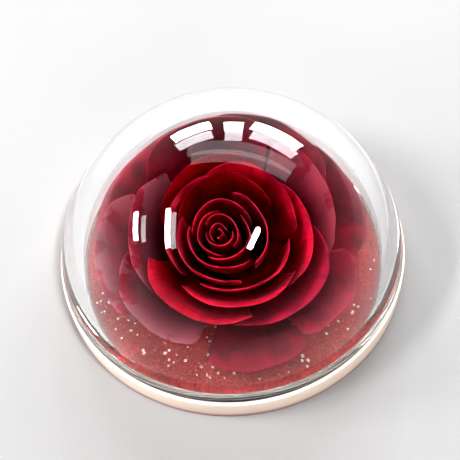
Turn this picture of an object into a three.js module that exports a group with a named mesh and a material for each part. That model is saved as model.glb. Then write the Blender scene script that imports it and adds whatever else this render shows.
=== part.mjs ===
// A preserved rose under a dome. A thick clear dome stands on a milky base disc. A red bed lies in
// the disc, and a cut rose head stands on the bed. Millimetres, +Z up, with the origin under the
// middle of the base.

import * as THREE from 'three';

// Dome and base
const OUTER_RADIUS = 47.5; // of the dome and of the base
const WALL = 5.8; // thickness of the dome
const CENTRE_HEIGHT = 1.4; // centre of the dome's two spheres
const BASE_HEIGHT = 6.9; // up to the ledge that the dome stands on
const RECESS_RADIUS = 41.3; // hollow in the base that the bed lies in
const RECESS_DEPTH = 3.2;
const CHAMFER = 0.5;
const GAP = 0.3; // left between pieces that touch
const ROUND_SEGMENTS = 48;
const DOME_ARC_STEPS = 9;

// Bed
const BED_THICKNESS = 2.6;

// Rose
const RECEPTACLE_RIM = 2; // height of its widest part above the bed
const ROSE_SHIFT = 3.5; // its foot stands this far in front of the base's middle
const LEAN_RISE = 20; // height over which the leans below are given
const LEAN = 4.5; // how far the rose leans to the front
const BUD_LEAN = 3.4; // how far its bud leans to the viewer's left as well
const CUP_LEAN = 0.4; // how far the petals round the bud lean to the right
const CUP_LAYER = 0.6; // the layer from which petals lean as the cup does
const TILT = 0.17; // drop of the front rims and rise of the back ones, per mm of reach
const BACK_RISE = 0.9; // the open petals stand this much taller at the back, as a fraction
const BACK_LAYERS = [0.68, 0.84]; // layers over which that sets in
const BACK_FOOT = 9; // height over which that sets in
const BACK_HOLD = 0.8; // share of the lean that they don't follow there
const BACK_CLIMB = 12; // their wide parts climb this much further at the back
const CLIMB_REACH = [18, 40]; // radii over which they do
const FRONT_ANGLE = THREE.MathUtils.degToRad(-80.6); // the way the rose leans, from +X
const PETAL_THICKNESS = 0.5;
const WALL_CLEARANCE = 1.2; // between the petals and the dome's inner face
const WALL_EASING = 4.5; // depth over which petals that reach the wall give way to it
const GOLDEN_ANGLE = Math.PI * (3 - Math.sqrt(5));
const OUT_OF_ROUND = [{ lobes: 2, share: 0.04, turn: 2.5 }, { lobes: 3, share: 0.03, turn: 1.1 }];

// Stages of a petal, as fractions of its length from the foot
const CLAW_END = 0.45; // its full width from here
const FLARE_START = 0.35;
const WAVE_START = 0.5;
const LIP_START = 0.74;
const LIP_DROP = 0.5; // a lip drops by this share of its roll
const SHOULDER_POWER = 2.5; // the higher, the squarer a petal's shoulders
const TANGENT_STEP = 1e-3; // for the direction of a petal's surface

// The receptacle's profile, as radius and height above the rose's foot
const RECEPTACLE = [
  [0, 0], [6.8, 0], [8.2, 0.8], [9, RECEPTACLE_RIM],
  [8.8, 2.2], [7.4, 2.8], [5.8, 3.4], [3.8, 4.4], [1.6, 5.6], [0, 6],
];
const RECEPTACLE_SEGMENTS = 20;

const INNER_RADIUS = OUTER_RADIUS - WALL;
const DOME_FOOT = BASE_HEIGHT + GAP;
const RECESS_FLOOR = BASE_HEIGHT - RECESS_DEPTH;
const BED_RADIUS = RECESS_RADIUS - GAP;
const BED_FOOT = RECESS_FLOOR + GAP;
const BED_TOP = BED_FOOT + BED_THICKNESS;
const ROSE_FOOT = BED_TOP + GAP;
const PETAL_FOOT = ROSE_FOOT + RECEPTACLE_RIM;

// Cross-sections of the flower from the innermost petal (layer 0) to the outermost (layer 1). Each
// gives four control points of a petal's middle line, as radius and height above the petals' foot.
const SECTIONS = [
  { layer: 0.0, points: [[0.9, 4.4], [1.6, 9.0], [1.5, 15.0], [0.9, 18.2]] },
  { layer: 0.32, points: [[3.6, 3.2], [10.2, 5.0], [11.8, 14.5], [10.0, 19.4]] },
  { layer: 0.42, points: [[4.6, 2.6], [13.0, 3.6], [15.0, 13.5], [13.6, 20.4]] },
  { layer: 0.68, points: [[6.4, 1.6], [17.0, 2.9], [21.0, 11.0], [20.3, 18.4]] },
  { layer: 0.85, points: [[7.8, 1.1], [20.0, 1.9], [28.0, 6.0], [30.0, 12.0]] },
  { layer: 1.0, points: [[8.9, 0.6], [21.0, 0.4], [34.0, 0.9], [44.5, 2.8]] },
];

// The tight bud in the middle: its petals follow each other by the golden angle
const BUD = { count: 9, layers: [0, 0.32], spans: [115, 66], rolls: [0.1, 0.7] };

// Petals round the bud and open petals outside them, each by its layer, by where it faces (in
// degrees, 0 at the viewer's right and 270 at the front) and by its half span in degrees. A
// petal rolls its lip out by roll and opens its upper half by flare, both in mm.
const CUP_PETALS = [
  { layer: 0.39, facing: 215, span: 64, roll: 0.8, flare: 0 },
  { layer: 0.43, facing: 95, span: 64, roll: 0.8, flare: 0 },
  { layer: 0.465, facing: 292, span: 57, roll: 1.2, flare: 0 },
  { layer: 0.515, facing: 158, span: 56, roll: 1.3, flare: 0 },
  { layer: 0.56, facing: 54, span: 54, roll: 1.4, flare: 0 },
  { layer: 0.575, facing: 272, span: 50, roll: 1.8, flare: 0.6 },
  { layer: 0.635, facing: 1, span: 50, roll: 1.5, flare: 0.2 },
  { layer: 0.65, facing: 110, span: 52, roll: 1.4, flare: 0.2 },
  { layer: 0.68, facing: 234, span: 44, roll: 2.0, flare: 2.2 },
];
const OUTER_PETALS = [
  { layer: 0.74, facing: 314, span: 56, roll: 1.8, flare: 0.5, shoulder: 0.34 },
  { layer: 0.78, facing: 172, span: 42, roll: 1.4, flare: 0 },
  { layer: 0.83, facing: 105, span: 42, roll: 1.4, flare: 0 },
  { layer: 0.8, facing: 20, span: 40, roll: 1.4, flare: 0 },
  { layer: 0.87, facing: 214, span: 34, roll: 0.8, flare: 0 },
  { layer: 0.9, facing: 62, span: 40, roll: 1.0, flare: 0 },
  { layer: 0.9, facing: 326, span: 26, roll: 1.0, flare: 0 },
  { layer: 0.945, facing: 277, span: 23, roll: 0.6, flare: 0 },
  { layer: 0.94, facing: 180, span: 35, roll: 0.8, flare: 0 },
  { layer: 1.0, facing: 137, span: 45, roll: 0.8, flare: 0 },
  { layer: 0.96, facing: 22, span: 32, roll: 0.8, flare: 0 },
];

// What the petals of a whorl share: how narrow their foot is against their span, how far their
// rim drops at the shoulders, the wave of their rim in mm, and their mesh
const BUD_BLADE = { claw: 0.26, shoulder: 0.1, wave: 0, columns: 11, rows: 5 };
const CUP_BLADE = { claw: 0.38, shoulder: 0.16, wave: 0.25, columns: 10, rows: 7 };
const OUTER_BLADE = { claw: 0.5, shoulder: 0.26, wave: 0.8, columns: 8, rows: 7 };

const CLEAR_DOME = { color: 0xf4f6f7, roughness: 0.03, metalness: 0 };
const MILKY_BASE = { color: 0xf3dfce, roughness: 0.1, metalness: 0 };
const RED_BED = { color: 0xb0403c, roughness: 0.75, metalness: 0 };
const DARK_HIP = { color: 0x3a1a14, roughness: 0.8, metalness: 0 };
const BUD_RED = { color: 0x5c0a18, roughness: 0.62, metalness: 0 };
const CUP_RED = { color: 0x8c0c1c, roughness: 0.58, metalness: 0 };
const OUTER_RED = { color: 0x7a1024, roughness: 0.6, metalness: 0 };

const lerp = THREE.MathUtils.lerp;
const radians = THREE.MathUtils.degToRad;
const smooth = THREE.MathUtils.smoothstep;

function piece(name, geometry, look) {
  const mesh = new THREE.Mesh(geometry, new THREE.MeshStandardMaterial(look));
  mesh.name = name;
  return mesh;
}

// A solid of revolution about +Z from a profile of [radius, height] points
function turned(profile, segments) {
  const points = profile.map(([radius, height]) => new THREE.Vector2(radius, height));
  return new THREE.LatheGeometry(points, segments).rotateX(Math.PI / 2);
}

// Points of a sphere's meridian, from one height to another
function meridian(radius, fromHeight, toHeight, steps) {
  const fromAngle = Math.asin((fromHeight - CENTRE_HEIGHT) / radius);
  const toAngle = Math.asin((toHeight - CENTRE_HEIGHT) / radius);
  const points = [];
  for (let i = 0; i <= steps; i += 1) {
    const angle = lerp(fromAngle, toAngle, i / steps);
    points.push([radius * Math.cos(angle), CENTRE_HEIGHT + radius * Math.sin(angle)]);
  }
  return points;
}

function domeGeometry() {
  const innerTop = CENTRE_HEIGHT + INNER_RADIUS;
  const outerTop = CENTRE_HEIGHT + OUTER_RADIUS;
  const inner = meridian(INNER_RADIUS, innerTop, DOME_FOOT, DOME_ARC_STEPS);
  const outer = meridian(OUTER_RADIUS, DOME_FOOT + CHAMFER, outerTop, DOME_ARC_STEPS);
  inner[0][0] = 0;
  outer[outer.length - 1][0] = 0;
  const footEdge = [outer[0][0] - CHAMFER, DOME_FOOT];
  return turned([...inner, footEdge, ...outer], ROUND_SEGMENTS);
}

function baseGeometry() {
  return turned([
    [0, 0],
    [OUTER_RADIUS - CHAMFER, 0],
    [OUTER_RADIUS, CHAMFER],
    [OUTER_RADIUS, BASE_HEIGHT - CHAMFER],
    [OUTER_RADIUS - CHAMFER, BASE_HEIGHT],
    [RECESS_RADIUS, BASE_HEIGHT],
    [RECESS_RADIUS, RECESS_FLOOR],
    [0, RECESS_FLOOR],
  ], ROUND_SEGMENTS);
}

function bedGeometry() {
  return turned([
    [0, BED_FOOT],
    [BED_RADIUS, BED_FOOT],
    [BED_RADIUS, BED_TOP - CHAMFER],
    [BED_RADIUS - CHAMFER, BED_TOP],
    [0, BED_TOP],
  ], ROUND_SEGMENTS);
}

function receptacleGeometry() {
  const profile = RECEPTACLE.map(([radius, height]) => [radius, ROSE_FOOT + height]);
  const shiftX = ROSE_SHIFT * Math.cos(FRONT_ANGLE);
  const shiftY = ROSE_SHIFT * Math.sin(FRONT_ANGLE);
  return turned(profile, RECEPTACLE_SEGMENTS).translate(shiftX, shiftY, 0);
}

// Radius and height of a petal's middle line, at a layer of the flower and a fraction t of the
// petal's length
function section(layer, t) {
  let i = 0;
  while (i < SECTIONS.length - 2 && layer > SECTIONS[i + 1].layer) i += 1;
  const inner = SECTIONS[i];
  const outer = SECTIONS[i + 1];
  const mix = (layer - inner.layer) / (outer.layer - inner.layer);
  const weights = [(1 - t) ** 3, 3 * t * (1 - t) ** 2, 3 * t * t * (1 - t), t ** 3];
  const at = [0, 0];
  weights.forEach((weight, p) => {
    at[0] += weight * lerp(inner.points[p][0], outer.points[p][0], mix);
    at[1] += weight * lerp(inner.points[p][1], outer.points[p][1], mix);
  });
  return at;
}

// The whole flower leans and dips to the front, stands taller at the back, and gives way where it
// reaches the dome
function settle(x, y, height, layer) {
  const front = [Math.cos(FRONT_ANGLE), Math.sin(FRONT_ANGLE)];
  const left = [front[1], -front[0]];
  const reach = x * front[0] + y * front[1];
  const back = 0.5 - (0.5 * reach) / Math.hypot(x, y);
  const outside = smooth(layer, ...BACK_LAYERS);
  const open = outside * smooth(height, 0, BACK_FOOT);
  const climb = BACK_CLIMB * outside * smooth(Math.hypot(x, y), ...CLIMB_REACH);
  const tall = height + (BACK_RISE * height * open + climb) * back ** 2;
  const rise = tall / LEAN_RISE;
  const follow = 1 - BACK_HOLD * back ** 2 * open;
  const forward = ROSE_SHIFT + LEAN * rise * follow;
  const aside = lerp(BUD_LEAN, -CUP_LEAN, smooth(layer, 0, CUP_LAYER)) * rise;
  const point = new THREE.Vector3(
    x + forward * front[0] + aside * left[0],
    y + forward * front[1] + aside * left[1],
    PETAL_FOOT + tall - TILT * reach * rise,
  );
  const centre = new THREE.Vector3(0, 0, CENTRE_HEIGHT);
  const away = point.clone().sub(centre);
  const limit = INNER_RADIUS - WALL_CLEARANCE;
  const free = limit - WALL_EASING;
  const distance = away.length();
  if (distance <= free) return point;
  const eased = free + WALL_EASING * (1 - Math.exp((free - distance) / WALL_EASING));
  return centre.addScaledVector(away, eased / distance);
}

// A point of a petal's middle surface: u runs from edge to edge (-1 to 1), v from foot to rim
function petalPoint(petal, u, v) {
  const rimDrop = petal.shoulder * Math.abs(u) ** SHOULDER_POWER;
  const t = v * (1 - rimDrop);
  let [radius, height] = section(petal.layer, t);
  let warp = 1;
  const lip = smooth(t, LIP_START, 1) ** 2;
  const ripple = Math.sin(2 * Math.PI * u + 5 * petal.azimuth);
  radius += petal.flare * smooth(t, FLARE_START, 1) + petal.roll * lip;
  height += petal.wave * ripple * smooth(t, WAVE_START, 1) - LIP_DROP * petal.roll * lip;
  const width = lerp(petal.claw, 1, smooth(t, 0, CLAW_END));
  const angle = petal.azimuth + petal.span * width * u;
  OUT_OF_ROUND.forEach(({ lobes, share, turn }) => {
    warp += share * Math.cos(lobes * angle + turn);
  });
  radius *= warp;
  return settle(radius * Math.cos(angle), radius * Math.sin(angle), height, petal.layer);
}

// A petal's two faces share their edge, so the blade is thick inside and thin all round
function petalGeometry(petal) {
  const { columns, rows } = petal;
  const positions = [];
  const faces = [[], []];
  for (let row = 0; row <= rows; row += 1) {
    for (let column = 0; column <= columns; column += 1) {
      const u = (2 * column) / columns - 1;
      const v = row / rows;
      const middle = petalPoint(petal, u, v);
      const [left, right] = [-TANGENT_STEP, TANGENT_STEP].map((d) => petalPoint(petal, u + d, v));
      const [below, above] = [-TANGENT_STEP, TANGENT_STEP].map((d) => petalPoint(petal, u, v + d));
      const normal = right.sub(left).cross(above.sub(below)).normalize();
      const edge = row === 0 || row === rows || column === 0 || column === columns;
      faces.forEach((face, side) => {
        if (edge && side === 1) {
          face.push(faces[0][faces[0].length - 1]);
          return;
        }
        const offset = edge ? 0 : (0.5 - side) * PETAL_THICKNESS;
        face.push(positions.length / 3);
        positions.push(...middle.clone().addScaledVector(normal, offset).toArray());
      });
    }
  }
  const index = [];
  const id = (face, row, column) => face[row * (columns + 1) + column];
  for (let row = 0; row < rows; row += 1) {
    for (let column = 0; column < columns; column += 1) {
      faces.forEach((face, side) => {
        const a = id(face, row, column);
        const b = id(face, row, column + 1);
        const c = id(face, row + 1, column + 1);
        const d = id(face, row + 1, column);
        if (side === 0) index.push(a, b, c, a, c, d);
        else index.push(a, c, b, a, d, c);
      });
    }
  }
  const geometry = new THREE.BufferGeometry();
  geometry.setAttribute('position', new THREE.Float32BufferAttribute(positions, 3));
  geometry.setIndex(index);
  return geometry;
}

function budPetals() {
  const petals = [];
  for (let i = 0; i < BUD.count; i += 1) {
    const mix = i / (BUD.count - 1);
    petals.push({
      ...BUD_BLADE,
      layer: lerp(...BUD.layers, mix),
      azimuth: i * GOLDEN_ANGLE,
      span: radians(lerp(...BUD.spans, mix)),
      roll: lerp(...BUD.rolls, mix),
      flare: 0,
    });
  }
  return petals;
}

function placedPetals(list, blade) {
  return list.map(({ facing, span, ...petal }) => ({
    ...blade,
    ...petal,
    azimuth: FRONT_ANGLE + radians(facing - 270),
    span: radians(span),
  }));
}

const rose = new THREE.Group();

function addWhorl(name, petals, look) {
  petals.forEach((petal, i) => {
    rose.add(piece(`${name}_${i + 1}`, petalGeometry(petal), look));
  });
}

rose.add(piece('base', baseGeometry(), MILKY_BASE));
rose.add(piece('bed', bedGeometry(), RED_BED));
rose.add(piece('dome', domeGeometry(), CLEAR_DOME));
rose.add(piece('receptacle', receptacleGeometry(), DARK_HIP));
addWhorl('bud_petal', budPetals(), BUD_RED);
addWhorl('cup_petal', placedPetals(CUP_PETALS, CUP_BLADE), CUP_RED);
addWhorl('outer_petal', placedPetals(OUTER_PETALS, OUTER_BLADE), OUTER_RED);

export default rose;
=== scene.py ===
"""A preserved rose under a thick clear dome, on a milky base with a glittering red bed.

The petals follow the same formula as the part's solids, with a finer mesh, ruffled rims and
creases. Lengths in the constants are in millimetres unless they say otherwise, and the scene is
in metres.
"""

import math

import bpy
import numpy as np
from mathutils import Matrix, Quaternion, Vector


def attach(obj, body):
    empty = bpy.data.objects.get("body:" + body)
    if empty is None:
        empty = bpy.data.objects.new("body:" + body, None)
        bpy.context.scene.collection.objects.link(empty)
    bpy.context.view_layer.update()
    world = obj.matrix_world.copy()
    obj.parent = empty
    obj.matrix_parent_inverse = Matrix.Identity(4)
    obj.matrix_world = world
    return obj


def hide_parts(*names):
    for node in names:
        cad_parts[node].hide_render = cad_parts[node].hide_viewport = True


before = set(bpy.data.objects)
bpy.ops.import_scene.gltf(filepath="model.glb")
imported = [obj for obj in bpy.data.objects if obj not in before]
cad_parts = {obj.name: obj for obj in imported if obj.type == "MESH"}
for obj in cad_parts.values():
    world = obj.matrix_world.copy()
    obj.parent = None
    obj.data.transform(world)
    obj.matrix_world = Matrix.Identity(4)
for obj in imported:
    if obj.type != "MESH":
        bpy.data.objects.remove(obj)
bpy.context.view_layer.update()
MM = 0.001

# Dome, base and bed
OUTER_RADIUS = 47.5  # of the dome and of the base
WALL = 5.8  # thickness of the dome
CENTRE_HEIGHT = 1.4  # centre of the dome's two spheres
BASE_HEIGHT = 6.9  # up to the ledge that the dome stands on
RECESS_RADIUS = 41.3  # hollow in the base that the bed lies in
RECESS_DEPTH = 3.2
GAP = 0.3  # left between pieces that touch
BED_THICKNESS = 2.6
INNER_RADIUS = OUTER_RADIUS - WALL
DOME_FOOT = BASE_HEIGHT + GAP
RECESS_FLOOR = BASE_HEIGHT - RECESS_DEPTH
BED_RADIUS = RECESS_RADIUS - GAP
BED_FOOT = RECESS_FLOOR + GAP
BED_TOP = BED_FOOT + BED_THICKNESS

# Rounding and mesh of the turned pieces
EDGE = 0.5  # rounding of the dome's and the base's edges
BED_EDGE = 0.7
CORNER_STEPS = 4
CORNER_SHARE = 0.45  # the most of a straight stretch that one corner's rounding takes
DOME_ARC_STEPS = 48
GLASS_SEGMENTS = 192
BED_SEGMENTS = 128

# Rose
RECEPTACLE_RIM = 2  # height of its widest part above the bed
PETAL_FOOT = BED_TOP + GAP + RECEPTACLE_RIM
ROSE_SHIFT = 3.5  # its foot stands this far in front of the base's middle
LEAN_RISE = 20  # height over which the leans below are given
LEAN = 4.5  # how far the rose leans to the front
BUD_LEAN = 3.4  # how far its bud leans to the viewer's left as well
CUP_LEAN = 0.4  # how far the petals round the bud lean to the right
CUP_LAYER = 0.6  # the layer from which petals lean as the cup does
TILT = 0.17  # drop of the front rims and rise of the back ones, per mm of reach
BACK_RISE = 0.9  # the open petals stand this much taller at the back, as a fraction
BACK_LAYERS = (0.68, 0.84)  # layers over which that sets in
BACK_FOOT = 9  # height over which that sets in
BACK_HOLD = 0.8  # share of the lean that they don't follow there
BACK_CLIMB = 12  # their wide parts climb this much further at the back
CLIMB_REACH = (18, 40)  # radii over which they do
FRONT_ANGLE = math.radians(-80.6)  # the way the rose leans, from +X
FRONT_FACING = 270  # degrees, of a petal that faces the front
WALL_CLEARANCE = 1.2  # between the petals and the dome's inner face
WALL_EASING = 4.5  # depth over which petals that reach the wall give way to it
GOLDEN_ANGLE = math.pi * (3 - math.sqrt(5))
OUT_OF_ROUND = ((2, 0.04, 2.5), (3, 0.03, 1.1))  # lobes, share of the radius, turn

# Stages of a petal, as fractions of its length from the foot
CLAW_END = 0.45  # its full width from here
FLARE_START = 0.35
WAVE_START = 0.5
LIP_START = 0.74
LIP_DROP = 0.5  # a lip drops by this share of its roll
SHOULDER_POWER = 2.5  # the higher, the squarer a petal's shoulders
WAVE_TURN = 5  # sets each petal's wave apart, by where it faces

# Cross-sections of the flower from the innermost petal (layer 0) to the outermost (layer 1). Each
# gives four control points of a petal's middle line, as radius and height above the petals' foot.
SECTIONS = (
    (0.0, ((0.9, 4.4), (1.6, 9.0), (1.5, 15.0), (0.9, 18.2))),
    (0.32, ((3.6, 3.2), (10.2, 5.0), (11.8, 14.5), (10.0, 19.4))),
    (0.42, ((4.6, 2.6), (13.0, 3.6), (15.0, 13.5), (13.6, 20.4))),
    (0.68, ((6.4, 1.6), (17.0, 2.9), (21.0, 11.0), (20.3, 18.4))),
    (0.85, ((7.8, 1.1), (20.0, 1.9), (28.0, 6.0), (30.0, 12.0))),
    (1.0, ((8.9, 0.6), (21.0, 0.4), (34.0, 0.9), (44.5, 2.8))),
)

# The tight bud in the middle: its petals follow each other by the golden angle
BUD = {"count": 9, "layers": (0, 0.32), "spans": (115, 66), "rolls": (0.1, 0.7)}

# Petals round the bud and open petals outside them, each by its layer, by where it faces (in
# degrees, 0 at the viewer's right and 270 at the front) and by its half span in degrees. A petal
# rolls its lip out by roll and opens its upper half by flare, both in mm. Its number after flare is
# 0 where it is crimson, 1 where a greyish mauve sheen is painted on it and -1 where it is a deep
# crimson.
CUP_PETALS = (
    {"layer": 0.39, "facing": 215, "span": 64, "roll": 0.8, "flare": 0, "painted_sheen_and_deep_tone": 0.1},
    {"layer": 0.43, "facing": 95, "span": 64, "roll": 0.8, "flare": 0, "painted_sheen_and_deep_tone": -0.9},
    {"layer": 0.465, "facing": 292, "span": 57, "roll": 1.2, "flare": 0, "painted_sheen_and_deep_tone": 0},
    {"layer": 0.515, "facing": 158, "span": 56, "roll": 1.3, "flare": 0, "painted_sheen_and_deep_tone": 0.2},
    {"layer": 0.56, "facing": 54, "span": 54, "roll": 1.4, "flare": 0, "painted_sheen_and_deep_tone": -0.4},
    {"layer": 0.575, "facing": 272, "span": 50, "roll": 1.8, "flare": 0.6, "painted_sheen_and_deep_tone": 0},
    {"layer": 0.635, "facing": 1, "span": 50, "roll": 1.5, "flare": 0.2, "painted_sheen_and_deep_tone": 0},
    {"layer": 0.65, "facing": 110, "span": 52, "roll": 1.4, "flare": 0.2, "painted_sheen_and_deep_tone": -0.9},
    {"layer": 0.68, "facing": 234, "span": 44, "roll": 2.0, "flare": 2.2, "painted_sheen_and_deep_tone": -0.35},
)
OUTER_PETALS = (
    {"layer": 0.74, "facing": 314, "span": 56, "roll": 1.8, "flare": 0.5, "painted_sheen_and_deep_tone": 0, "shoulder": 0.34},
    {"layer": 0.78, "facing": 172, "span": 42, "roll": 1.4, "flare": 0, "painted_sheen_and_deep_tone": 0.9},
    {"layer": 0.83, "facing": 105, "span": 42, "roll": 1.4, "flare": 0, "painted_sheen_and_deep_tone": 0.2},
    {"layer": 0.8, "facing": 20, "span": 40, "roll": 1.4, "flare": 0, "painted_sheen_and_deep_tone": 0.45},
    {"layer": 0.87, "facing": 214, "span": 34, "roll": 0.8, "flare": 0, "painted_sheen_and_deep_tone": 1},
    {"layer": 0.9, "facing": 62, "span": 40, "roll": 1.0, "flare": 0, "painted_sheen_and_deep_tone": 0.2},
    {"layer": 0.9, "facing": 326, "span": 26, "roll": 1.0, "flare": 0, "painted_sheen_and_deep_tone": 0.1},
    {"layer": 0.945, "facing": 277, "span": 23, "roll": 0.6, "flare": 0, "painted_sheen_and_deep_tone": -0.3},
    {"layer": 0.94, "facing": 180, "span": 35, "roll": 0.8, "flare": 0, "painted_sheen_and_deep_tone": 0.75},
    {"layer": 1.0, "facing": 137, "span": 45, "roll": 0.8, "flare": 0, "painted_sheen_and_deep_tone": 0.1},
    {"layer": 0.96, "facing": 22, "span": 32, "roll": 0.8, "flare": 0, "painted_sheen_and_deep_tone": -0.3},
)

# What the petals of a whorl share: how narrow their foot is against their span, how far their rim
# drops at the shoulders, the wave of their rim in mm, how ruffled the rim is as a share of their
# length, how marked the point in its middle is, and the seed of the first petal's creases
BUD_BLADE = {"claw": 0.26, "shoulder": 0.1, "wave": 0, "ruffle": 0.014, "point": 0, "seed": 10}
CUP_BLADE = {"claw": 0.38, "shoulder": 0.16, "wave": 0.25, "ruffle": 0.014, "point": 0.4, "seed": 40}
OUTER_BLADE = {"claw": 0.5, "shoulder": 0.26, "wave": 0.8, "ruffle": 0.036, "point": 1.0, "seed": 70}

# Mesh of a blade
BLADE_THICKNESS = 0.36
EDGE_TAPER = 0.08  # share of the blade over which it thins to its edge
BLADE_COLUMNS = 64
BLADE_ROWS = 44
ROW_CROWDING = 1.6  # power by which rows crowd towards the rim
ROW_CROWDED = 0.7  # share of that crowding
TANGENT_STEP = 1e-3  # for the direction of a blade's surface
UV_WIDTH = 0.3  # width of a blade in its UV map, per radian of its half span

# Creases: waves of random direction along the blade's normal
CREASE_WAVES = 7
CREASES_ACROSS = (2, 9)  # radians over half the blade's width
CREASES_ALONG = (-3, 3)  # radians over its length
CREASE_SHARES = (0.3, 1)
CREASE_DEPTH = 0.05
CREASE_STAGES = (0.25, 0.9)  # of the petal's length, over which they deepen
CREASE_MARGIN = (0.8, 1)  # of its half width, over which they fade
CREASE_FADE = 0.5

# Ruffle: waves of the rim, and the small point in its middle
RUFFLE_WAVES = (3, 5, 9, 14)  # along the rim, each as much lower as it is shorter
RUFFLE_SHARES = (0.4, 1)
RUFFLE_SEED = 1000  # sets the ruffle's seeds apart from the creases'
RUFFLE_START = 0.7
POINT_LENGTH = 0.012  # share of the petal's length
POINT_WIDTH = 0.16  # share of its half width

# Grains on the bed: double pyramids on four corners. Shares are of a grain's radius.
QUARTER_TURN = math.pi / 2
GRAIN_CORNERS = 4
GRAIN_POINTS = GRAIN_CORNERS + 2
GRAIN_MARGIN = 1.2  # kept free along the bed's edge
GRAIN_LIFT = 0.34  # share that its middle stands above the bed
GRAIN_PEAK = 0.3  # share from its middle to its upper and its lower point
GRAIN_LEAN = 0.45  # spread of its lean
GRAIN_TIP = 0.4  # share that a corner rises for a lean of one
GRAIN_CORNER_LOW = 0.02  # the least that its corners stand above the bed
GRAIN_FOOT_LOW = 0.01  # the least that its lower point does
RED_GRAINS = {"count": 2600, "radii": (0.16, 0.42), "seed": 3}
PALE_GRAINS = {"count": 300, "radii": (0.25, 0.55), "seed": 5}
PALE_REACH = (-10, 30)  # towards the front, over which pale grains grow more frequent
PALE_LEAST = 0.25  # share of them that stays at the back

FULL_TURN = 6.3  # radians, rounded up, for random phases and turns


def smooth(x, low, high):
    """0 up to low, 1 from high, and a soft step between them."""
    t = np.clip((x - low) / (high - low), 0, 1)
    return t * t * (3 - 2 * t)


def lerp(a, b, t):
    return a + (b - a) * t


# Shape of a petal


def section(layer, t):
    """Radius and height of a petal's middle line, at a fraction of its length."""
    i = 0
    while i < len(SECTIONS) - 2 and layer > SECTIONS[i + 1][0]:
        i += 1
    (low, inner), (high, outer) = SECTIONS[i], SECTIONS[i + 1]
    mix = (layer - low) / (high - low)
    weights = ((1 - t) ** 3, 3 * t * (1 - t) ** 2, 3 * t * t * (1 - t), t**3)
    radius = sum(w * lerp(p[0], q[0], mix) for w, p, q in zip(weights, inner, outer))
    height = sum(w * lerp(p[1], q[1], mix) for w, p, q in zip(weights, inner, outer))
    return radius, height


def settle(x, y, height, layer):
    """Lean the upright flower to the front, and let its widest petals give way to the dome."""
    front = (math.cos(FRONT_ANGLE), math.sin(FRONT_ANGLE))
    left = (front[1], -front[0])
    reach = x * front[0] + y * front[1]
    back = 0.5 - 0.5 * reach / np.hypot(x, y)
    outside = smooth(layer, *BACK_LAYERS)
    opening = outside * smooth(height, 0, BACK_FOOT)
    climb = BACK_CLIMB * outside * smooth(np.hypot(x, y), *CLIMB_REACH)
    tall = height + (BACK_RISE * height * opening + climb) * back**2
    rise = tall / LEAN_RISE
    forward = ROSE_SHIFT + LEAN * rise * (1 - BACK_HOLD * back**2 * opening)
    aside = lerp(BUD_LEAN, -CUP_LEAN, smooth(layer, 0, CUP_LAYER)) * rise
    point = np.stack(
        [
            x + forward * front[0] + aside * left[0],
            y + forward * front[1] + aside * left[1],
            PETAL_FOOT + tall - TILT * reach * rise,
        ],
        axis=-1,
    )
    centre = np.array([0, 0, CENTRE_HEIGHT])
    away = point - centre
    free = INNER_RADIUS - WALL_CLEARANCE - WALL_EASING
    distance = np.linalg.norm(away, axis=-1, keepdims=True)
    eased = free + WALL_EASING * (1 - np.exp((free - distance) / WALL_EASING))
    return np.where(distance <= free, point, centre + away * eased / distance)


def petal_points(petal, u, v):
    """Points of a petal's middle surface: u from -1 to 1 across it, v from 0 to 1 along it."""
    drop = petal["shoulder"] * np.abs(u) ** SHOULDER_POWER
    t = v * (1 - drop)
    radius, height = section(petal["layer"], t)
    lip = smooth(t, LIP_START, 1) ** 2
    ripple = np.sin(2 * np.pi * u + WAVE_TURN * petal["azimuth"])
    radius = radius + petal["flare"] * smooth(t, FLARE_START, 1) + petal["roll"] * lip
    height = height + petal["wave"] * ripple * smooth(t, WAVE_START, 1)
    height = height - LIP_DROP * petal["roll"] * lip
    width = lerp(petal["claw"], 1, smooth(t, 0, CLAW_END))
    angle = petal["azimuth"] + petal["span"] * width * u
    radius = radius * (1 + sum(s * np.cos(n * angle + a) for n, s, a in OUT_OF_ROUND))
    return settle(radius * np.cos(angle), radius * np.sin(angle), height, petal["layer"])


def creases(petal, u, v):
    """Small folds of a blade, in mm along its normal, growing towards the rim."""
    rng = np.random.default_rng(petal["seed"])
    total = np.zeros_like(u)
    for _ in range(CREASE_WAVES):
        across = rng.uniform(*CREASES_ACROSS) * rng.choice((-1, 1))
        along = rng.uniform(*CREASES_ALONG)
        phase = rng.uniform(0, 2 * math.pi)
        total += rng.uniform(*CREASE_SHARES) * np.sin(across * u + along * v + phase)
    fading = 1 - CREASE_FADE * smooth(np.abs(u), *CREASE_MARGIN)
    return total * CREASE_DEPTH * smooth(v, *CREASE_STAGES) * fading


def ruffle(petal, u, v):
    """Fine unevenness of the rim and the point in its middle, as a shift of v."""
    rng = np.random.default_rng(petal["seed"] + RUFFLE_SEED)
    total = np.zeros_like(u)
    for n in RUFFLE_WAVES:
        total += rng.uniform(*RUFFLE_SHARES) / n * np.sin(n * u * 2 + rng.uniform(0, FULL_TURN))
    point = POINT_LENGTH * np.exp(-((u / POINT_WIDTH) ** 2)) * petal["point"]
    return (petal["ruffle"] * total + point) * smooth(v, RUFFLE_START, 1)


# Mesh of a petal


def blade_grid():
    """The grid of a blade, with more rows near the rim, where the lip rolls."""
    rows = np.linspace(0, 1, BLADE_ROWS + 1)
    rows = lerp(rows, 1 - (1 - rows) ** ROW_CROWDING, ROW_CROWDED)
    return np.meshgrid(np.linspace(-1, 1, BLADE_COLUMNS + 1), rows)


def blade_normals(petal, u, v):
    step = TANGENT_STEP
    across = petal_points(petal, u + step, v) - petal_points(petal, u - step, v)
    along = petal_points(petal, u, v + step) - petal_points(petal, u, v - step)
    normal = np.cross(across, along)
    return normal / np.linalg.norm(normal, axis=-1, keepdims=True)


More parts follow.
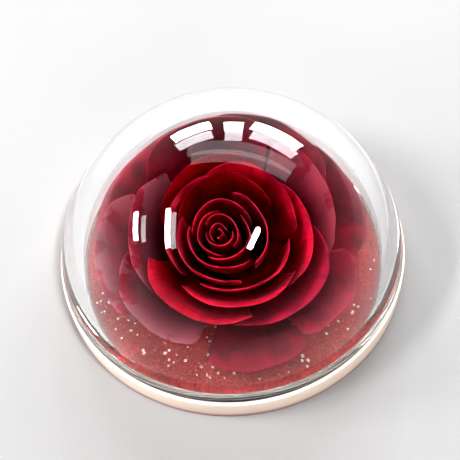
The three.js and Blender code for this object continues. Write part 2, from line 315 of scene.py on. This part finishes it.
def half_thickness(u, v):
    """Half of a blade's thickness, which goes to nothing along its edge."""
    near = np.minimum(np.minimum(1 - np.abs(u), v * 2), (1 - v) * 2)
    return 0.5 * BLADE_THICKNESS * np.sqrt(np.clip(near / EDGE_TAPER, 0, 1))


def quads(ids, flip):
    a, b, c, d = ids[:-1, :-1], ids[:-1, 1:], ids[1:, 1:], ids[1:, :-1]
    order = (a, d, c, b) if flip else (a, b, c, d)
    return np.stack(order, axis=-1).reshape(-1, 4)


def petal_mesh(name, petal):
    """A closed blade, whose upper and lower skins share the points of its edge."""
    u, v = blade_grid()
    # The rim is drawn in by the ruffle's share, so that its waves stay within the solid's rim
    uneven = v * (1 + ruffle(petal, u, v) - petal["ruffle"])
    normal = blade_normals(petal, u, uneven)
    middle = petal_points(petal, u, uneven) + normal * creases(petal, u, uneven)[..., None]
    half = half_thickness(u, v)[..., None]
    upper = middle + normal * half
    lower = middle - normal * half
    edge = np.ones(u.shape, bool)
    edge[1:-1, 1:-1] = False
    upper_ids = np.arange(u.size).reshape(u.shape)
    lower_ids = upper_ids.copy()
    lower_ids[~edge] = u.size + np.arange(int((~edge).sum()))
    points = np.concatenate([upper.reshape(-1, 3), lower[~edge]])
    places = np.stack([u, v], axis=-1)
    places = np.concatenate([places.reshape(-1, 2), places[~edge]])
    faces = np.concatenate([quads(upper_ids, False), quads(lower_ids, True)])
    mesh = bpy.data.meshes.new(name)
    mesh.from_pydata((points * MM).tolist(), [], faces.tolist())
    # The map's U runs across the blade, further on a wider petal, and its V along it
    uv = mesh.uv_layers.new(name="blade")
    corners = np.array([loop.vertex_index for loop in mesh.loops])
    coords = places[corners] * (0.5 * UV_WIDTH * petal["span"], 1) + (0.5, 0)
    uv.data.foreach_set("uv", coords.astype(np.float32).ravel())
    # Above 0, how much greyish sheen is painted on the petal; below 0, how deep its crimson is
    painted_sheen_and_deep_tone = mesh.attributes.new("painted_sheen_and_deep_tone", "FLOAT", "POINT")
    painted_sheen_and_deep_tone.data.foreach_set("value", np.full(len(points), petal["painted_sheen_and_deep_tone"], np.float32))
    mesh.shade_smooth()
    return mesh


def spiral(bud, blade):
    """The bud's petals from the inside out."""
    petals = []
    for i in range(bud["count"]):
        mix = i / (bud["count"] - 1)
        petals.append(
            {
                **blade,
                "layer": lerp(*bud["layers"], mix),
                "azimuth": i * GOLDEN_ANGLE,
                "span": math.radians(lerp(*bud["spans"], mix)),
                "roll": lerp(*bud["rolls"], mix),
                "flare": 0,
                "painted_sheen_and_deep_tone": 0,
                "seed": blade["seed"] + i,
            }
        )
    return petals


def placed(petals, blade):
    """Petals that face the ways their rows give."""
    return [
        {
            **blade,
            **petal,
            "azimuth": FRONT_ANGLE + math.radians(petal["facing"] - FRONT_FACING),
            "span": math.radians(petal["span"]),
            "seed": blade["seed"] + i,
        }
        for i, petal in enumerate(petals)
    ]


# Turned pieces


def scaled_mesh(name, points, faces):
    """A mesh in metres from points in millimetres."""
    mesh = bpy.data.meshes.new(name)
    mesh.from_pydata([tuple(c * MM for c in point) for point in points], [], faces)
    return mesh


def turned_mesh(name, profile, segments):
    """A closed solid of revolution from a profile that runs from the axis to the axis."""
    rings = profile[1:-1]
    turns = 2 * math.pi * np.arange(segments) / segments
    points = [(0.0, 0.0, profile[0][1])]
    for radius, height in rings:
        points += [(radius * math.cos(a), radius * math.sin(a), height) for a in turns]
    points.append((0.0, 0.0, profile[-1][1]))
    last = len(points) - 1
    top = 1 + (len(rings) - 1) * segments
    faces = []
    for i in range(segments):
        j = (i + 1) % segments
        faces.append((0, 1 + j, 1 + i))
        for low in range(1, top, segments):
            high = low + segments
            faces.append((low + i, low + j, high + j, high + i))
        faces.append((top + i, top + j, last))
    mesh = scaled_mesh(name, points, faces)
    mesh.shade_smooth()
    return mesh


def rounded(profile, radius):
    """The profile with its inner corners rounded by arcs of about that radius."""
    result = [profile[0]]
    for before, corner, after in zip(profile, profile[1:], profile[2:]):
        b, c, a = Vector(before), Vector(corner), Vector(after)
        cut = min(radius, (b - c).length * CORNER_SHARE, (a - c).length * CORNER_SHARE)
        start = c + (b - c).normalized() * cut
        end = c + (a - c).normalized() * cut
        for i in range(CORNER_STEPS + 1):
            t = i / CORNER_STEPS
            spot = start * (1 - t) ** 2 + c * 2 * t * (1 - t) + end * t * t
            result.append((spot.x, spot.y))
    result.append(profile[-1])
    return result


def meridian(radius):
    """Points of one of the dome's faces, from its foot to its top."""
    start = math.asin((DOME_FOOT + EDGE - CENTRE_HEIGHT) / radius)
    angles = [lerp(start, math.pi / 2, i / DOME_ARC_STEPS) for i in range(DOME_ARC_STEPS + 1)]
    return [(radius * math.cos(a), CENTRE_HEIGHT + radius * math.sin(a)) for a in angles]


def dome_profile():
    inner = meridian(INNER_RADIUS)
    outer = meridian(OUTER_RADIUS)
    foot_inner = (inner[0][0] + EDGE, DOME_FOOT)
    foot_outer = (outer[0][0] - EDGE, DOME_FOOT)
    foot = rounded([inner[1], inner[0], foot_inner, foot_outer, outer[0], outer[1]], EDGE)
    return inner[:1:-1] + foot[1:-1] + outer[2:]


def base_profile():
    corners = [
        (0, 0),
        (OUTER_RADIUS, 0),
        (OUTER_RADIUS, BASE_HEIGHT),
        (RECESS_RADIUS, BASE_HEIGHT),
        (RECESS_RADIUS, RECESS_FLOOR),
        (0, RECESS_FLOOR),
    ]
    return rounded(corners, EDGE)


def bed_profile():
    corners = [(0, BED_FOOT), (BED_RADIUS, BED_FOOT), (BED_RADIUS, BED_TOP), (0, BED_TOP)]
    return rounded(corners, BED_EDGE)


# Grains on the bed


def grain_points(x, y, radius, turn, lean):
    """Corners of a flake that lies at (x, y) on the bed, then its upper and its lower point."""
    points = []
    middle = radius * GRAIN_LIFT
    for k in range(GRAIN_CORNERS):
        a = math.cos(turn + k * QUARTER_TURN)
        b = math.sin(turn + k * QUARTER_TURN)
        height = middle + radius * GRAIN_TIP * (a * lean[0] + b * lean[1])
        points.append((x + radius * a, y + radius * b, BED_TOP + max(GRAIN_CORNER_LOW, height)))
    points.append((x, y, BED_TOP + middle + radius * GRAIN_PEAK))
    points.append((x, y, BED_TOP + max(GRAIN_FOOT_LOW, middle - radius * GRAIN_PEAK)))
    return points


def grains_mesh(name, kind, share):
    """Many small flakes as one mesh. The share gives how many of them stay at a place."""
    rng = np.random.default_rng(kind["seed"])
    points = []
    faces = []
    while len(points) < kind["count"] * GRAIN_POINTS:
        x, y = rng.uniform(-BED_RADIUS, BED_RADIUS, 2)
        if math.hypot(x, y) > BED_RADIUS - GRAIN_MARGIN or rng.uniform() > share(x, y):
            continue
        radius = rng.uniform(*kind["radii"])
        turn = rng.uniform(0, FULL_TURN)
        lean = rng.normal(0, GRAIN_LEAN, 2)
        start = len(points)
        points += grain_points(x, y, radius, turn, lean)
        for k in range(GRAIN_CORNERS):
            a = start + k
            b = start + (k + 1) % GRAIN_CORNERS
            faces += [(a, b, start + GRAIN_CORNERS), (b, a, start + GRAIN_CORNERS + 1)]
    return scaled_mesh(name, points, faces)


def everywhere(x, y):
    return 1


def mostly_in_front(x, y):
    return PALE_LEAST + (1 - PALE_LEAST) * float(smooth(np.array(-y), *PALE_REACH))


# Shader nodes


def new_material(name):
    """A material, its node tree, and the inputs of its shader and of its output."""
    material = bpy.data.materials.new(name)
    material.use_nodes = True
    tree = material.node_tree
    tree.nodes.clear()
    output = tree.nodes.new("ShaderNodeOutputMaterial")
    shader = tree.nodes.new("ShaderNodeBsdfPrincipled")
    tree.links.new(shader.outputs["BSDF"], output.inputs["Surface"])
    return material, tree, shader.inputs, output.inputs


def fill(tree, sockets, values):
    """Link each value to the socket of its name, or set it there if it is a plain value."""
    for name, value in values.items():
        socket = sockets[name]
        if isinstance(value, bpy.types.NodeSocket):
            tree.links.new(value, socket)
        elif socket.type == "RGBA":
            socket.default_value = (*value, 1)
        else:
            socket.default_value = value


def node(tree, kind, inputs=None, **settings):
    made = tree.nodes.new(kind)
    for key, value in settings.items():
        setattr(made, key, value)
    fill(tree, made.inputs, inputs or {})
    return made


def position(tree):
    return node(tree, "ShaderNodeNewGeometry").outputs["Position"]


def noise(tree, place, scale, detail, distortion=0):
    inputs = {"Vector": place, "Scale": scale, "Detail": detail, "Distortion": distortion}
    return node(tree, "ShaderNodeTexNoise", inputs).outputs["Fac"]


def ramp(tree, value, stops):
    made = node(tree, "ShaderNodeValToRGB", {"Fac": value})
    elements = made.color_ramp.elements
    while len(elements) < len(stops):
        elements.new(0.5)
    for element, (place, colour) in zip(elements, stops):
        element.position = place
        element.color = (*colour, 1)
    return made.outputs["Color"]


def spread(tree, value, limits, results=(0, 1)):
    """The value spread from between the limits to between the results, and kept there."""
    inputs = {
        "Value": value,
        "From Min": limits[0],
        "From Max": limits[1],
        "To Min": results[0],
        "To Max": results[1],
    }
    return node(tree, "ShaderNodeMapRange", inputs).outputs["Result"]


def mixed(tree, factor, a, b, blend="MIX"):
    made = node(tree, "ShaderNodeMix", data_type="RGBA", blend_type=blend)
    sockets = {socket.name: socket for socket in made.inputs if socket.enabled}
    fill(tree, sockets, {"Factor": factor, "A": a, "B": b})
    return next(socket for socket in made.outputs if socket.enabled)


def product(tree, a, b):
    return mixed(tree, 1.0, a, b, "MULTIPLY")


def bump(tree, height, strength, distance, below=None):
    """A normal from a height, laid over the normal below where there is one."""
    inputs = {"Height": height, "Strength": strength, "Distance": distance}
    if below is not None:
        inputs["Normal"] = below
    return node(tree, "ShaderNodeBump", inputs).outputs["Normal"]


# Materials. Colours are linear, noise scales are per metre and bump distances are in metres.

# A petal's colours at its foot, where the shade among the petals is painted in, in its belly and at
# its rim, how far up that painted shade reaches, and the weight and tint of its velvet's sheen
BUD_LOOK = {
    "foot": (0.02, 0.001, 0.004),
    "belly": (0.25, 0.004, 0.022),
    "rim": (0.63, 0.024, 0.062),
    "shadow": 0.45,
    "sheen": 0.1,
    "tint": (1.0, 0.25, 0.35),
}
CUP_LOOK = {
    "foot": (0.05, 0.002, 0.006),
    "belly": (0.5, 0.004, 0.027),
    "rim": (0.66, 0.015, 0.056),
    "shadow": 0.5,
    "sheen": 0.1,
    "tint": (1.0, 0.3, 0.4),
}
OUTER_LOOK = {
    "foot": (0.06, 0.002, 0.008),
    "belly": (0.33, 0.003, 0.03),
    "rim": (0.44, 0.01, 0.05),
    "shadow": 0.6,
    "sheen": 0.04,
    "tint": (1.0, 0.4, 0.5),
}
SHADOW_MIX = 0.25  # of the belly's colour in the foot's, at the shadow's end
BELLY_END = 0.85
BLOTCHES = [(0.32, (0.55, 0.5, 0.55)), (0.66, (1.25, 1.15, 1.2))]
VEIN_STRETCH = (46, 2.2, 1)  # across the blade, along it
VEIN_SHADES = [(0.35, (0.72, 0.7, 0.72)), (0.62, (1.12, 1.1, 1.1))]
VEIN_SHARE = 0.55

# A petal with painted sheen has its colour multiplied by a greyish cast and lifted by a painted
# bloom of light that grows towards the rim. A deep one's colour is multiplied.
PAINTED_SHEEN_CAST = (0.5, 0.8, 0.8)
PAINTED_SHEEN_BLOOM = [(0.45, (0.03, 0.015, 0.016)), (1.0, (0.26, 0.12, 0.13))]
DEEP_CAST = (0.45, 0.08, 0.2)
# Red patches along the rim stay free of the painted sheen
PATCHES = [(0.45, (0.12, 0.12, 0.12)), (0.5, (1, 1, 1))]
PATCH_STAGES = (0.7, 0.92)

GLASS_INDEX = 1.5
DOME_GLASS = {"tint": (0.93, 0.97, 0.96), "density": 1.2, "clarity": 1}
BASE_GLASS = {"tint": (0.99, 0.9, 0.82), "density": 8, "clarity": 0.12}
# The base's cream from its foot to its ledge, with a rosy shadow, reddened by light from the bed,
# painted along its foot
BASE_CREAM_AND_SHADOW = [
    (0.0, (0.3, 0.1, 0.09)),
    (0.14, (0.6, 0.34, 0.29)),
    (0.3, (0.94, 0.75, 0.63)),
    (1.0, (0.97, 0.82, 0.7)),
]
BASE_CLOUDS = [(0.35, (0.94, 0.93, 0.93)), (0.65, (1, 1, 1))]

BED_REDS = [(0.3, (0.25, 0.009, 0.01)), (0.5, (0.38, 0.02, 0.02)), (0.72, (0.5, 0.05, 0.044))]
BED_FLECKS = [(0.35, (0.6, 0.55, 0.55)), (0.65, (1.25, 1.2, 1.15))]
HIP_BROWNS = [(0.3, (0.03, 0.012, 0.006)), (0.7, (0.1, 0.035, 0.016))]
RED_GLITTER = [(0.35, (0.42, 0.03, 0.025)), (0.65, (0.72, 0.13, 0.1))]
PALE_GLITTER = [(0.35, (0.9, 0.6, 0.5)), (0.65, (1.0, 0.9, 0.78))]
FLOOR_GREYS = [(0.3, (0.215, 0.21, 0.208)), (0.7, (0.24, 0.235, 0.233))]


def colour_with_painted_sheen(tree, colour, place, along):
    """The petal's colour with as much painted sheen, or as much depth, as its mesh's attribute says.
    """
    painted_sheen_and_deep_tone = node(tree, "ShaderNodeAttribute", attribute_name="painted_sheen_and_deep_tone").outputs["Fac"]
    patches = ramp(tree, noise(tree, place, scale=150, detail=3), PATCHES)
    spotted = mixed(tree, spread(tree, along, PATCH_STAGES), (1, 1, 1), patches)
    share = node(tree, "ShaderNodeMath", {0: painted_sheen_and_deep_tone, 1: spotted}, operation="MULTIPLY", use_clamp=True)
    # Painted sheen: a greyish cast, and a bloom of painted light that grows towards the rim
    painted_bloom = ramp(tree, along, PAINTED_SHEEN_BLOOM)
    sheened = mixed(tree, 1.0, product(tree, colour, PAINTED_SHEEN_CAST), painted_bloom, "ADD")
    colour = mixed(tree, share.outputs["Value"], colour, sheened)
    depth = spread(tree, painted_sheen_and_deep_tone, (0, -1))
    return mixed(tree, depth, colour, product(tree, colour, DEEP_CAST))


def petal_material(name, look):
    """Velvety petal: with shade painted in at its foot, richer at the rim, with veins that run along
    it.
    """
    material, tree, shader, _ = new_material(name)
    place = position(tree)
    uv = node(tree, "ShaderNodeUVMap", uv_map="blade").outputs["UV"]
    along = node(tree, "ShaderNodeSeparateXYZ", {"Vector": uv}).outputs["Y"]
    stretched = node(tree, "ShaderNodeMapping", {"Vector": uv, "Scale": VEIN_STRETCH})
    veins = noise(tree, stretched.outputs["Vector"], scale=1.4, detail=5, distortion=0.5)
    blotch = noise(tree, place, scale=160, detail=5)
    velvet = noise(tree, place, scale=2600, detail=3)
    # Painted shade: the colour darkens from the belly down to the foot, where the petals shade each
    # other
    shadow = lerp(np.array(look["foot"]), np.array(look["belly"]), SHADOW_MIX)
    stages = [
        (0.0, look["foot"]),
        (look["shadow"], shadow),
        (BELLY_END, look["belly"]),
        (1.0, look["rim"]),
    ]
    colour = product(tree, ramp(tree, along, stages), ramp(tree, blotch, BLOTCHES))
    veined = product(tree, colour, ramp(tree, veins, VEIN_SHADES))
    colour = mixed(tree, VEIN_SHARE, colour, veined)
    folds = bump(tree, veins, strength=0.35, distance=0.0005)
    values = {
        "Base Color": colour_with_painted_sheen(tree, colour, place, along),
        "Roughness": spread(tree, blotch, (0.3, 0.7), (0.5, 0.72)),
        "Sheen Weight": look["sheen"],
        "Sheen Roughness": 0.35,
        "Sheen Tint": look["tint"],
        "Specular IOR Level": 0.18,
        "Normal": bump(tree, velvet, strength=0.3, distance=0.0001, below=folds),
    }
    fill(tree, shader, values)
    return material


def glass_material(name, glass):
    """Cast glass with the faint unevenness of its polish, clear or milky."""
    material, tree, shader, output = new_material(name)
    wipe = noise(tree, position(tree), scale=55, detail=3)
    values = {
        "Base Color": (1, 1, 1),
        "Transmission Weight": glass["clarity"],
        "IOR": GLASS_INDEX,
        "Roughness": spread(tree, wipe, (0.4, 0.75), (0, 0.012)),
    }
    fill(tree, shader, values)
    body = {"Color": glass["tint"], "Density": glass["density"]}
    inside = node(tree, "ShaderNodeVolumeAbsorption", body)
    fill(tree, output, {"Volume": inside.outputs["Volume"]})
    return material, tree, shader


def base_material():
    """Milky glass: cream, with a painted rosy shadow along its lower edge and faint clouds."""
    material, tree, shader = glass_material("base_glass", BASE_GLASS)
    place = position(tree)
    height = node(tree, "ShaderNodeSeparateXYZ", {"Vector": place}).outputs["Z"]
    # Painted shadow: a rosy contact shade along the foot, reddened by light from the bed, under the
    # cream
    cream_and_shadow = ramp(tree, spread(tree, height, (0, BASE_HEIGHT * MM)), BASE_CREAM_AND_SHADOW)
    clouds = ramp(tree, noise(tree, place, scale=60, detail=4), BASE_CLOUDS)
    fill(tree, shader, {"Base Color": product(tree, cream_and_shadow, clouds)})
    return material


def bed_material():
    """Flocked sheet, with a coarse mottle and a fine nap."""
    material, tree, shader, _ = new_material("bed_flock")
    place = position(tree)
    reds = ramp(tree, noise(tree, place, scale=90, detail=4), BED_REDS)
    nap = noise(tree, place, scale=1500, detail=4)
    values = {
        "Base Color": product(tree, reds, ramp(tree, nap, BED_FLECKS)),
        "Roughness": spread(tree, nap, (0, 1), (0.55, 0.95)),
        "Sheen Weight": 0.05,
        "Sheen Tint": (1.0, 0.4, 0.3),
        "Normal": bump(tree, nap, strength=0.8, distance=0.0006),
    }
    fill(tree, shader, values)
    return material


def receptacle_material():
    """Dried flesh of the flower's heart."""
    material, tree, shader, _ = new_material("dried_hip")
    mottle = noise(tree, position(tree), scale=400, detail=5)
    values = {
        "Base Color": ramp(tree, mottle, HIP_BROWNS),
        "Roughness": 0.8,
        "Normal": bump(tree, mottle, strength=0.6, distance=0.0005),
    }
    fill(tree, shader, values)
    return material


def grain_material(name, colours, metal):
    """Glitter, whose flakes differ in colour and polish."""
    material, tree, shader, _ = new_material(name)
    speck = noise(tree, position(tree), scale=900, detail=2)
    values = {
        "Base Color": ramp(tree, speck, colours),
        "Roughness": spread(tree, speck, (0, 1), (0.08, 0.32)),
        "Metallic": metal,
    }
    fill(tree, shader, values)
    return material


def floor_material():
    material, tree, shader, _ = new_material("floor")
    cloud = noise(tree, position(tree), scale=6, detail=3)
    fill(tree, shader, {"Base Color": ramp(tree, cloud, FLOOR_GREYS), "Roughness": 0.7})
    return material


# The object


def link(name, data):
    made = bpy.data.objects.new(name, data)
    bpy.context.scene.collection.objects.link(made)
    return made


def add(mesh, material, slot, *nodes):
    """A piece of the object, named as its mesh, that stands for the nodes if any are given."""
    piece = link(mesh.name, mesh)
    mesh.materials.append(material)
    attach(piece, "root")
    if nodes:
        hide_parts(*nodes)


def whorl(name, petals, material, slot):
    for i, petal in enumerate(petals, 1):
        mesh = petal_mesh(f"{name}_{i}_blade", petal)
        add(mesh, material, slot, f"{name}_{i}")


dome_glass, _, _ = glass_material("dome_glass", DOME_GLASS)
add(turned_mesh("dome_clear", dome_profile(), GLASS_SEGMENTS), dome_glass, "dome", "dome")
add(turned_mesh("base_clear", base_profile(), GLASS_SEGMENTS), base_material(), "base", "base")
add(turned_mesh("bed_flocked", bed_profile(), BED_SEGMENTS), bed_material(), "bed", "bed")

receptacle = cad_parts["receptacle"]
receptacle.data.materials.clear()
receptacle.data.materials.append(receptacle_material())

whorl("bud_petal", spiral(BUD, BUD_BLADE), petal_material("bud_petal", BUD_LOOK), "bud_petals")
whorl("cup_petal", placed(CUP_PETALS, CUP_BLADE), petal_material("cup_petal", CUP_LOOK), "cup_petals")
outer_red = petal_material("outer_petal", OUTER_LOOK)
whorl("outer_petal", placed(OUTER_PETALS, OUTER_BLADE), outer_red, "outer_petals")

red_glitter = grain_material("grain_red", RED_GLITTER, metal=0.1)
pale_glitter = grain_material("grain_pale", PALE_GLITTER, metal=0.0)
add(grains_mesh("grains_red", RED_GRAINS, everywhere), red_glitter, "bed")
add(grains_mesh("grains_pale", PALE_GRAINS, mostly_in_front), pale_glitter, "bed")

# Floor, light and camera. Lengths here are in metres.

FLOOR_HALF = 0.8
FLOOR_HEIGHT = -0.0002  # a hair under the base, so that the two faces don't share a plane

# Three window panes behind the dome, three long narrow lamps and a wide dim panel above the
# windows, which all show as reflections on it. Each row gives the azimuth from +X and the elevation
# in degrees, distance, width and height, power in watts, colour, and turn in its plane in degrees.
DAYLIGHT = (0.93, 0.96, 1.0)
WHITE = (1, 1, 1)
LAMP_AIM = Vector((0, 0, 0.02))
LAMPS = (
    ("window_left", 113, 24, 1.1, 0.34, 0.16, 8, DAYLIGHT, 0),
    ("window_middle", 92.5, 27, 1.1, 0.16, 0.18, 5, DAYLIGHT, 0),
    ("window_right", 71, 24, 1.1, 0.46, 0.17, 11, DAYLIGHT, 0),
    ("tube_low", -179, 30, 1.3, 0.36, 0.08, 11, WHITE, -8),
    ("tube_high", 194, 51, 1.3, 0.55, 0.08, 15, WHITE, -18),
    ("tube_front", -44, 65, 1.3, 0.33, 0.075, 19, WHITE, 28),
    ("panel_back", 84, 46, 1.3, 1.4, 0.26, 2.6, DAYLIGHT, 0),
)

# Around is a pale room, brighter near the horizon than overhead
ROOM_GREYS = [
    (0.0, (0.34, 0.33, 0.32)),
    (0.25, (0.3, 0.29, 0.285)),
    (0.6, (0.11, 0.108, 0.108)),
    (1.0, (0.1, 0.1, 0.1)),
]

# Light passes many faces on its way through the thick dome and base
GLASS_BOUNCES = 28
GLOSSY_BOUNCES = 20

CAMERA_PLACE = (0.0294, -0.1801, 0.3011)
CAMERA_AIM = Vector((0, 0, 0.016))
CAMERA_ROLL = 5.6  # degrees that the picture is turned by
LENS = 98  # focal length in mm, on a sensor 36 mm wide
SENSOR = 36
CLIP_START = 0.01
BLACK_LEVEL = 0.016  # takes out part of the veil that the dome's reflection of the floor leaves


def add_floor():
    half = FLOOR_HALF
    corners = [(-half, -half, 0), (half, -half, 0), (half, half, 0), (-half, half, 0)]
    mesh = bpy.data.meshes.new("floor")
    mesh.from_pydata(corners, [], [(0, 1, 2, 3)])
    mesh.materials.append(floor_material())
    plane = link("floor", mesh)
    plane.location.z = FLOOR_HEIGHT


def add_lamp(name, azimuth, elevation, distance, width, height, power, colour, turn):
    """An area light that faces the dome from a direction."""
    data = bpy.data.lights.new(name, "AREA")
    data.shape = "RECTANGLE"
    data.size = width
    data.size_y = height
    data.energy = power
    data.color = colour
    light = link(name, data)
    a = math.radians(azimuth)
    e = math.radians(elevation)
    away = Vector((math.cos(a) * math.cos(e), math.sin(a) * math.cos(e), math.sin(e)))
    light.location = away * distance + LAMP_AIM
    light.rotation_mode = "QUATERNION"
    facing = away.to_track_quat("Z", "Y")
    light.rotation_quaternion = facing @ Quaternion((0, 0, 1), math.radians(turn))


def add_room():
    world = bpy.data.worlds.new("studio")
    bpy.context.scene.world = world
    world.use_nodes = True
    room = world.node_tree
    toward = node(room, "ShaderNodeTexCoord").outputs["Generated"]
    height = node(room, "ShaderNodeSeparateXYZ", {"Vector": toward}).outputs["Z"]
    sky = {"Color": ramp(room, height, ROOM_GREYS), "Strength": 1.0}
    fill(room, room.nodes["Background"].inputs, sky)


def add_camera():
    data = bpy.data.cameras.new("camera")
    data.lens = LENS
    data.sensor_width = SENSOR
    data.clip_start = CLIP_START
    camera = link("camera", data)
    camera.location = CAMERA_PLACE
    camera.rotation_mode = "QUATERNION"
    level = (CAMERA_AIM - camera.location).to_track_quat("-Z", "Y")
    camera.rotation_quaternion = level @ Quaternion((0, 0, 1), -math.radians(CAMERA_ROLL))
    bpy.context.scene.camera = camera


def set_bounces():
    cycles = bpy.context.scene.cycles
    cycles.max_bounces = GLASS_BOUNCES
    cycles.transmission_bounces = GLASS_BOUNCES
    cycles.glossy_bounces = GLOSSY_BOUNCES


def set_view():
    view = bpy.context.scene.view_settings
    view.view_transform = "Standard"
    view.look = "Medium High Contrast"
    view.use_curve_mapping = True
    view.curve_mapping.black_level = (BLACK_LEVEL,) * 3
    view.curve_mapping.update()


add_floor()
for lamp in LAMPS:
    add_lamp(*lamp)
add_room()
add_camera()
set_bounces()
set_view()
